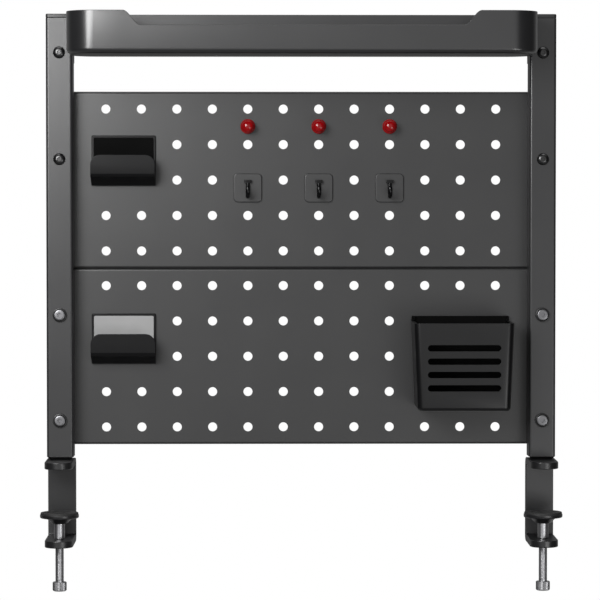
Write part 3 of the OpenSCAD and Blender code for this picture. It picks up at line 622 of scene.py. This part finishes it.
# %% Clamp brackets
STRIP, OUTER_BEND, INNER_BEND = 5.0, 5.5, 0.8
for side in ("left", "right"):
    low, high = box_mm(side + "_clamp_bracket")
    bracket = bmesh.new()
    corners = [(low.y, low.z), (high.y, low.z), (high.y, high.z), (low.y, high.z),
               (low.y, high.z - STRIP), (high.y - STRIP, high.z - STRIP),
               (high.y - STRIP, low.z + STRIP), (low.y, low.z + STRIP)]
    outline = [bracket.verts.new((low.x, y, z)) for y, z in corners]
    bracket.faces.new(outline)
    bmesh.ops.bevel(bracket, geom=[outline[1], outline[2]], offset=OUTER_BEND,
                    offset_type="OFFSET", segments=8, profile=0.5, affect="VERTICES", material=-1)
    inner = [v for v in bracket.verts if abs(v.co.y - (high.y - STRIP)) < 0.01
             and low.z + 1 < v.co.z < high.z - 1]
    bmesh.ops.bevel(bracket, geom=inner, offset=INNER_BEND, offset_type="OFFSET", segments=4,
                    profile=0.5, affect="VERTICES", material=-1)
    pulled = bmesh.ops.extrude_face_region(bracket, geom=bracket.faces[:])["geom"]
    bmesh.ops.translate(bracket, vec=(high.x - low.x, 0, 0),
                        verts=[v for v in pulled if isinstance(v, bmesh.types.BMVert)])
    tips = [e for e in bracket.edges if all(abs(v.co.y - low.y) < 0.01 for v in e.verts)
            and abs(e.verts[0].co.x - e.verts[1].co.x) < 0.01]
    bmesh.ops.bevel(bracket, geom=tips, offset=(high.x - low.x) / 2 - 0.02, offset_type="OFFSET",
                    segments=12, profile=0.5, affect="EDGES", material=-1)
    finish_piece(bracket, side + "_clamp_strip", "wall", side + "_clamp_bracket", edge=0.6)

# %% [markdown]
# ## Clamp screws and pads
#
# The screw is a metric cap screw: a knurled head with a hexagon socket, and a thread with one
# millimetre from crest to crest. The thread is a true helix: the spin operator climbs one pitch in
# every turn. Its ridge is only a tenth of a millimetre high, where a real one is cut about six
# times as deep, so that the shaft keeps the smooth look that it has from afar. Above the arm a
# plain sleeve covers the shaft. The pad is a turned disc on a cone, faced with rubber.

# %% Clamp screws
PITCH, CREST, ROOT = 1.0, 3.0, 2.9
KNURL_COLUMNS, KNURL_GROOVE = 72, 0.965
for side in ("left", "right"):
    low, high = box_mm(side + "_clamp_screw")
    middle = (low + high) / 2
    axis_at = Vector((middle.x, middle.y, 0))
    head_top = low.z + 6.5
    screw = bmesh.new()
    turns = int((high.z - 2.2 - head_top) / PITCH) - 1
    steps = 18 * turns
    ridge = [screw.verts.new(axis_at + Vector((r, 0, head_top + 0.3 + h)))
             for r, h in ((ROOT - 0.2, 0.01), (ROOT, 0.01), (CREST, 0.42), (CREST, 0.58),
                          (ROOT, 0.99), (ROOT - 0.2, 0.99))]
    loop = [screw.edges.new(pair) for pair in zip(ridge, ridge[1:] + ridge[:1])]
    last = bmesh.ops.spin(screw, geom=ridge + loop, cent=axis_at, axis=(0, 0, 1),
                          dvec=(0, 0, PITCH * turns / steps), angle=math.tau * turns,
                          steps=steps, use_merge=False)["geom_last"]
    bmesh.ops.contextual_create(screw, geom=ridge)
    bmesh.ops.contextual_create(screw, geom=[v for v in last if isinstance(v, bmesh.types.BMVert)])
    turn(screw, [(0, head_top - 0.2), (ROOT, head_top - 0.2), (ROOT, high.z - 2.0),
                 (CREST, high.z - 1.7), (CREST, high.z - 1.2), (4.5, high.z - 1.2),
                 (4.5, high.z), (0, high.z)], axis_at, steps=36)
    # the head, with its knurl made by pushing every second column of its side inwards
    turn(screw, [(0, head_top), (4.6, head_top), (5.0, head_top - 0.4),
                 (5.0, low.z + 0.8), (4.6, low.z + 0.25), (4.2, low.z), (3.4, low.z)],
         axis_at, steps=KNURL_COLUMNS)
    for vert in screw.verts:
        spot = vert.co - axis_at
        if Vector((spot.x, spot.y)).length > 4.95 and spot.z < head_top:
            column = round(math.atan2(spot.y, spot.x) / math.tau * KNURL_COLUMNS)
            if column % 2:
                vert.co.x = axis_at.x + spot.x * KNURL_GROOVE
                vert.co.y = axis_at.y + spot.y * KNURL_GROOVE
    socket(screw, Vector((middle.x, middle.y, low.z)), (0, 0, -1), 3.4, 5.0, 3.2,
           steps=KNURL_COLUMNS)
    finish_piece(screw, side + "_cap_screw", side + "_screw", side + "_clamp_screw", sharp=30)

    low, high = box_mm(side + "_screw_sleeve")
    sleeve = bmesh.new()
    r = (high.x - low.x) / 2
    turn(sleeve, [(3.0, low.z), (r - 0.3, low.z), (r, low.z + 0.3), (r, high.z - 0.3),
                  (r - 0.3, high.z), (3.0, high.z), (3.0, low.z)], axis_at)
    finish_piece(sleeve, side + "_spacer_sleeve", side + "_screw", side + "_screw_sleeve")

# %% Pads
PAD_BORE = 3.06
for side in ("left", "right"):
    low, high = box_mm(side + "_clamp_pad")
    at = Vector(((low.x + high.x) / 2, (low.y + high.y) / 2, 0))
    r, disc = (high.x - low.x) / 2, high.z - 2.7
    pad = bmesh.new()
    turn(pad, [(PAD_BORE, low.z), (5.5, low.z), (5.8, low.z + 0.15), (9.2, disc - 0.25),
               (9.7, disc), (r - 0.7, disc), (r - 0.2, disc + 0.25), (r, disc + 0.8),
               (r, high.z - 0.5), (r - 0.3, high.z), (4.8, high.z), (4.8, high.z - 1.4),
               (PAD_BORE, high.z - 1.4), (PAD_BORE, low.z)], at, steps=56)
    finish_piece(pad, side + "_pressure_pad", side + "_pad", side + "_clamp_pad", sharp=30)
    low, high = box_mm(side + "_pad_facing")
    r = (high.x - low.x) / 2
    rubber = bmesh.new()
    turn(rubber, [(0, low.z), (r, low.z), (r, high.z - 0.4), (r - 0.15, high.z - 0.1),
                  (r - 0.45, high.z), (8.6, high.z), (8.2, high.z - 0.35), (7.6, high.z - 0.35),
                  (7.2, high.z), (4.6, high.z), (4.2, high.z - 0.35), (3.6, high.z - 0.35),
                  (3.2, high.z), (0, high.z)], at, steps=56)
    finish_piece(rubber, side + "_rubber_facing", side + "_pad", side + "_pad_facing", sharp=30)

# %% [markdown]
# ## Phone holders
#
# A phone holder is one strip of sheet with two bends: down the panel, forward and up a little, and
# up again as a lip with round corners. The side view is a chain of four points. Its edges are
# extruded across the width, the two folds are bevelled into bends, the lip's corners are bevelled
# round, and a solidify modifier makes it sheet.

# %% Phone holders
SHEET, RISE, LIP = 1.6, 6.6, 16.0
BEND, LIP_CORNER, TOP_CORNER = 1.4, 7.0, 1.0
for level in ("upper", "lower"):
    low, high = box_mm(level + "_phone_holder")
    lip_top = low.z + RISE + LIP
    holder = bmesh.new()
    path = [(high.y - SHEET, high.z), (high.y - SHEET, low.z + SHEET * 1.1),
            (low.y + SHEET, low.z + RISE + SHEET * 1.1), (low.y + SHEET, lip_top)]
    chain = [holder.verts.new((low.x, y, z)) for y, z in path]
    edges = [holder.edges.new(pair) for pair in zip(chain, chain[1:])]
    across = bmesh.ops.extrude_edge_only(holder, edges=edges)["geom"]
    bmesh.ops.translate(holder, vec=(high.x - low.x, 0, 0),
                        verts=[v for v in across if isinstance(v, bmesh.types.BMVert)])
    folds = [e for e in holder.edges if len(e.link_faces) == 2]
    bmesh.ops.bevel(holder, geom=folds, offset=BEND, offset_type="OFFSET", segments=6,
                    profile=0.5, affect="EDGES", material=-1)
    lips = [v for v in holder.verts if abs(v.co.z - lip_top) < 0.01 and v.co.y < high.y - 8]
    bmesh.ops.bevel(holder, geom=lips, offset=LIP_CORNER, offset_type="OFFSET", segments=12,
                    profile=0.5, affect="VERTICES", material=-1)
    tops = [v for v in holder.verts if abs(v.co.z - high.z) < 0.01]
    bmesh.ops.bevel(holder, geom=tops, offset=TOP_CORNER, offset_type="OFFSET", segments=4,
                    profile=0.5, affect="VERTICES", material=-1)
    bmesh.ops.recalc_face_normals(holder, faces=holder.faces)
    back = max(holder.faces, key=lambda f: f.calc_center_median().z)
    if back.normal.y > 0:
        bmesh.ops.reverse_faces(holder, faces=holder.faces)
    piece = finish_piece(holder, level + "_bent_holder", level + "_holder",
                         level + "_phone_holder", wall=SHEET, edge=0.4, fix=False)

    low, high = box_mm(level + "_holder_facing")
    foam = bmesh.new()
    middle = (low + high) / 2
    rounded_plate(foam, high.x - low.x, high.z - low.z, 1.0, high.y - low.y,
                  Matrix.Translation((middle.x, high.y, middle.z)) @ FACE_FRONT, arc=4)
    finish_piece(foam, level + "_foam_facing", level + "_holder", level + "_holder_facing",
                 edge=0.25)

# %% [markdown]
# ## Push pins
#
# A magnetic push pin is turned like a chess pawn: a wide foot that holds the magnet, a waist for
# the fingers, and a domed knob. Most of its look is gloss, so the profile has enough points to
# carry a highlight round every curve.

# %% Push pins
for place_name in ("left", "middle", "right"):
    node = place_name + "_pin"
    low, high = box_mm(node)
    at = Vector(((low.x + high.x) / 2, high.y, (low.z + high.z) / 2))
    r, knob, tall = (high.x - low.x) / 2, 4.3, high.y - low.y
    profile = [(3.55, 0), (r - 0.5, 0), (r - 0.12, 0.16), (r, 0.6), (r, 1.9), (r - 0.15, 2.3),
               (r - 0.6, 2.6), (4.0, 2.85), (3.4, 3.3), (3.05, 4.0), (2.9, 5.0), (2.9, 6.2),
               (3.1, 7.1), (3.5, 7.8), (3.9, 8.25), (4.15, 8.6), (knob, 9.1), (knob, 9.5),
               (knob - 0.1, 9.9), (knob - 0.4, 10.4), (knob - 0.85, 10.85), (knob - 1.4, 11.25),
               (knob - 2.0, 11.56), (knob - 2.7, 11.8), (knob - 3.4, 11.94), (0, tall)]
    pin = bmesh.new()
    turn(pin, profile, at, front, steps=48)
    turn(pin, [(3.55, 0), (3.55, 2.1), (0, 2.1)], at, front, steps=48)
    finish_piece(pin, place_name + "_turned_pin", place_name + "_push_pin", node, sharp=45)

# %% [markdown]
# ## Hooks
#
# Each hook is a small moulded plate with a wire J. The wire is a circle that is extruded down the
# plate, spun through half a turn at the bottom, extruded up again and closed with a domed end. A
# short block holds the wire at the top, and a peg on the back goes through the panel.

# %% Hooks
WIRE, PLATE, PLATE_BACK = 3.0, 1.6, -0.15
for place_name in ("left", "middle", "right"):
    node = place_name + "_hook_plate"
    body = place_name + "_peg_hook"
    low, high = box_mm(node)
    plate = bmesh.new()
    middle = (low + high) / 2
    rounded_plate(plate, high.x - low.x, high.z - low.z, 3.0, PLATE,
                  Matrix.Translation((middle.x, PLATE_BACK, middle.z)) @ FACE_FRONT)
    turn(plate, [(0, 5.55), (2.2, 5.55), (3.0, 4.55), (3.0, 0.1), (0, 0.1)],
         Vector((middle.x, PLATE_BACK, middle.z + 5.9)), (0, 1, 0), steps=24)
    finish_piece(plate, place_name + "_base_plate", body, node, edge=0.75, segments=3)

    low, high = box_mm(place_name + "_hook")
    x, shank_y = (low.x + high.x) / 2, high.y - WIRE / 2 - 0.05
    gap = (high.y - low.y - 0.05 - WIRE) / 2
    bend_z = low.z + WIRE / 2 + gap
    top_z = high.z - 1.15
    wire = bmesh.new()
    ring = bmesh.ops.create_circle(wire, cap_ends=False, radius=WIRE / 2, segments=20,
                                   matrix=Matrix.Translation((x, shank_y, top_z)))["verts"]
    loop = list({e for v in ring for e in v.link_edges})
    bmesh.ops.contextual_create(wire, geom=ring)
    shank = bmesh.ops.extrude_edge_only(wire, edges=loop)["geom"]
    end = [v for v in shank if isinstance(v, bmesh.types.BMVert)]
    bmesh.ops.translate(wire, vec=(0, 0, bend_z - top_z), verts=end)
    loop = [e for e in shank if isinstance(e, bmesh.types.BMEdge) and e.is_boundary
            and all(v in end for v in e.verts)]
    bent = bmesh.ops.spin(wire, geom=end + loop, cent=(x, shank_y - gap, bend_z),
                          axis=(1, 0, 0), angle=-math.pi, steps=18, use_merge=False)["geom_last"]
    loop = [e for e in bent if isinstance(e, bmesh.types.BMEdge)]
    for shrink, lift in ((1.0, 1.6), (0.87, 0.75), (0.5, 0.55), (0.12, 0.17)):
        grown = bmesh.ops.extrude_edge_only(wire, edges=loop)["geom"]
        end = [v for v in grown if isinstance(v, bmesh.types.BMVert)]
        middle = sum((v.co for v in end), Vector()) / len(end)
        for vert in end:
            flat = vert.co - middle
            vert.co = middle + flat.normalized() * (WIRE / 2 * shrink) + Vector((0, 0, lift))
        loop = [e for e in grown if isinstance(e, bmesh.types.BMEdge)
                and all(v in end for v in e.verts)]
    bmesh.ops.contextual_create(wire, geom=end)
    rounded_plate(wire, 5.1, WIRE + 0.6, 0.4, 2.3,
                  Matrix.Translation((x, high.y - (WIRE + 0.6) / 2, high.z - 2.3)), arc=3)
    finish_piece(wire, place_name + "_wire_hook", body, place_name + "_hook", sharp=40)

# %% [markdown]
# ## Pen box
#
# The pen box is one plastic moulding that narrows to its floor, so that it leaves the mould. Its
# upright edges and its floor edge are well rounded, its back wall stands higher, and four
# round-ended slots open the front. An outer and an inner skin are each grown as the tray was, and
# their rims are bridged, because a solidify modifier would make the tight inner folds cross. The
# slots can't be had by moving edges without breaking the flat front, so they are cut with a
# boolean, once, and the result is kept as the mesh.

# %% Pen box
low, high = box_mm("pen_box")
FLOOR_W, WALL, LOWER = 65.6, 2.0, 3.4
centre = (low + high) / 2


def tub(bm, inset, radius, fold):
    """One skin of the box, from its floor to its open rim, whose vertices it returns."""
    made = bmesh.ops.create_grid(bm, x_segments=1, y_segments=1, size=0.5)["verts"]
    floor_z = low.z + inset
    bmesh.ops.scale(bm, vec=(FLOOR_W - 2 * inset, high.y - low.y - 2 * inset, 1), verts=made)
    bmesh.ops.translate(bm, vec=(centre.x, centre.y, floor_z), verts=made)
    made = bmesh.ops.bevel(bm, geom=made, offset=radius, offset_type="OFFSET", segments=8,
                           profile=0.5, affect="VERTICES", material=-1)["verts"]
    outline = list({e for v in made for e in v.link_edges})
    grown = bmesh.ops.extrude_edge_only(bm, edges=outline)["geom"]
    top = [v for v in grown if isinstance(v, bmesh.types.BMVert)]
    bmesh.ops.translate(bm, vec=(0, 0, high.z - floor_z), verts=top)
    lean = ((high.x - low.x) - FLOOR_W) / 2 * (high.z - floor_z) / (high.z - low.z)
    for vert in top:
        vert.co.x += lean * (1 if vert.co.x > centre.x else -1)
    bmesh.ops.bevel(bm, geom=outline, offset=fold, offset_type="OFFSET", segments=6, profile=0.5,
                    affect="EDGES", material=-1)
    return top


shell = bmesh.new()
tub(shell, 0.0, 4.5, 3.0)
tub(shell, WALL, 2.5, 1.2)
for y in (high.y - WALL - 0.2, high.y - WALL - 3.4):
    bmesh.ops.bisect_plane(shell, geom=shell.verts[:] + shell.edges[:] + shell.faces[:],
                           plane_co=(0, y, 0), plane_no=(0, 1, 0), dist=0.001)
for vert in shell.verts:
    if vert.co.z > high.z - 0.01 and vert.co.y < high.y - WALL - 1:
        vert.co.z -= LOWER
bmesh.ops.bridge_loops(shell, edges=[e for e in shell.edges if e.is_boundary])
bmesh.ops.recalc_face_normals(shell, faces=shell.faces)
bmesh.ops.scale(shell, vec=(MM, MM, MM), verts=shell.verts)
solid_mesh = bpy.data.meshes.new("pen_box_solid")
shell.to_mesh(solid_mesh)
shell.free()
solid = bpy.data.objects.new("pen_box_solid", solid_mesh)
bpy.context.collection.objects.link(solid)
print("pen box wall solid:", len(solid_mesh.polygons), "faces")

# %% Slots of the pen box
cutters = bmesh.new()
SLOTS, SLOT_PITCH, SLOT_LENGTH, SLOT_HEIGHT = 4, 9.4, 51.5, 4.4
slot_middle = low.z + (high.z - low.z) / 2 - 2.2
for i in range(SLOTS):
    z = slot_middle + ((SLOTS - 1) / 2 - i) * SLOT_PITCH
    rounded_plate(cutters, SLOT_LENGTH, SLOT_HEIGHT, SLOT_HEIGHT / 2 - 0.01, 8.0,
                  Matrix.Translation((centre.x, low.y + 4.0, z)) @ FACE_FRONT, arc=8)
bmesh.ops.scale(cutters, vec=(MM, MM, MM), verts=cutters.verts)
bmesh.ops.recalc_face_normals(cutters, faces=cutters.faces)
cutter_mesh = bpy.data.meshes.new("slot_cutters")
cutters.to_mesh(cutter_mesh)
cutters.free()
cutter = bpy.data.objects.new("slot_cutters", cutter_mesh)
bpy.context.collection.objects.link(cutter)
cut = solid.modifiers.new("slots", "BOOLEAN")
cut.operation, cut.object, cut.solver = "DIFFERENCE", cutter, "EXACT"
evaluated = solid.evaluated_get(bpy.context.evaluated_depsgraph_get())
carved = bmesh.new()
carved.from_mesh(evaluated.to_mesh())
bpy.data.objects.remove(cutter)
bpy.data.objects.remove(solid)
bmesh.ops.scale(carved, vec=(1 / MM, 1 / MM, 1 / MM), verts=carved.verts)
pen_box = finish_piece(carved, "slotted_pen_box", "box", "pen_box", edge=0.5, sharp=38, fix=False)
# inner walls and floor take the darker material, painted shade inside the box
pen_box.data.materials.append(box_inside_painted_shade)
for face in pen_box.data.polygons:
    middle = face.center / MM
    inward = (centre.x - middle.x) * face.normal.x + (centre.y - middle.y) * face.normal.y
    walls_in = abs(face.normal.z) < 0.5 and inward > 1 and middle.y > low.y + 1
    floor_in = face.normal.z > 0.5 and middle.z < low.z + 5
    face.material_index = 1 if walls_in or floor_in else 0
print("faces inside the box:", sum(face.material_index for face in pen_box.data.polygons))

# %% [markdown]
# ## Size of the dressed model
#
# The dressed model must fill the same box as the CAD model, so the box that the dressed model
# fills is worked out here.

# %% Size and finish
low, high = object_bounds()
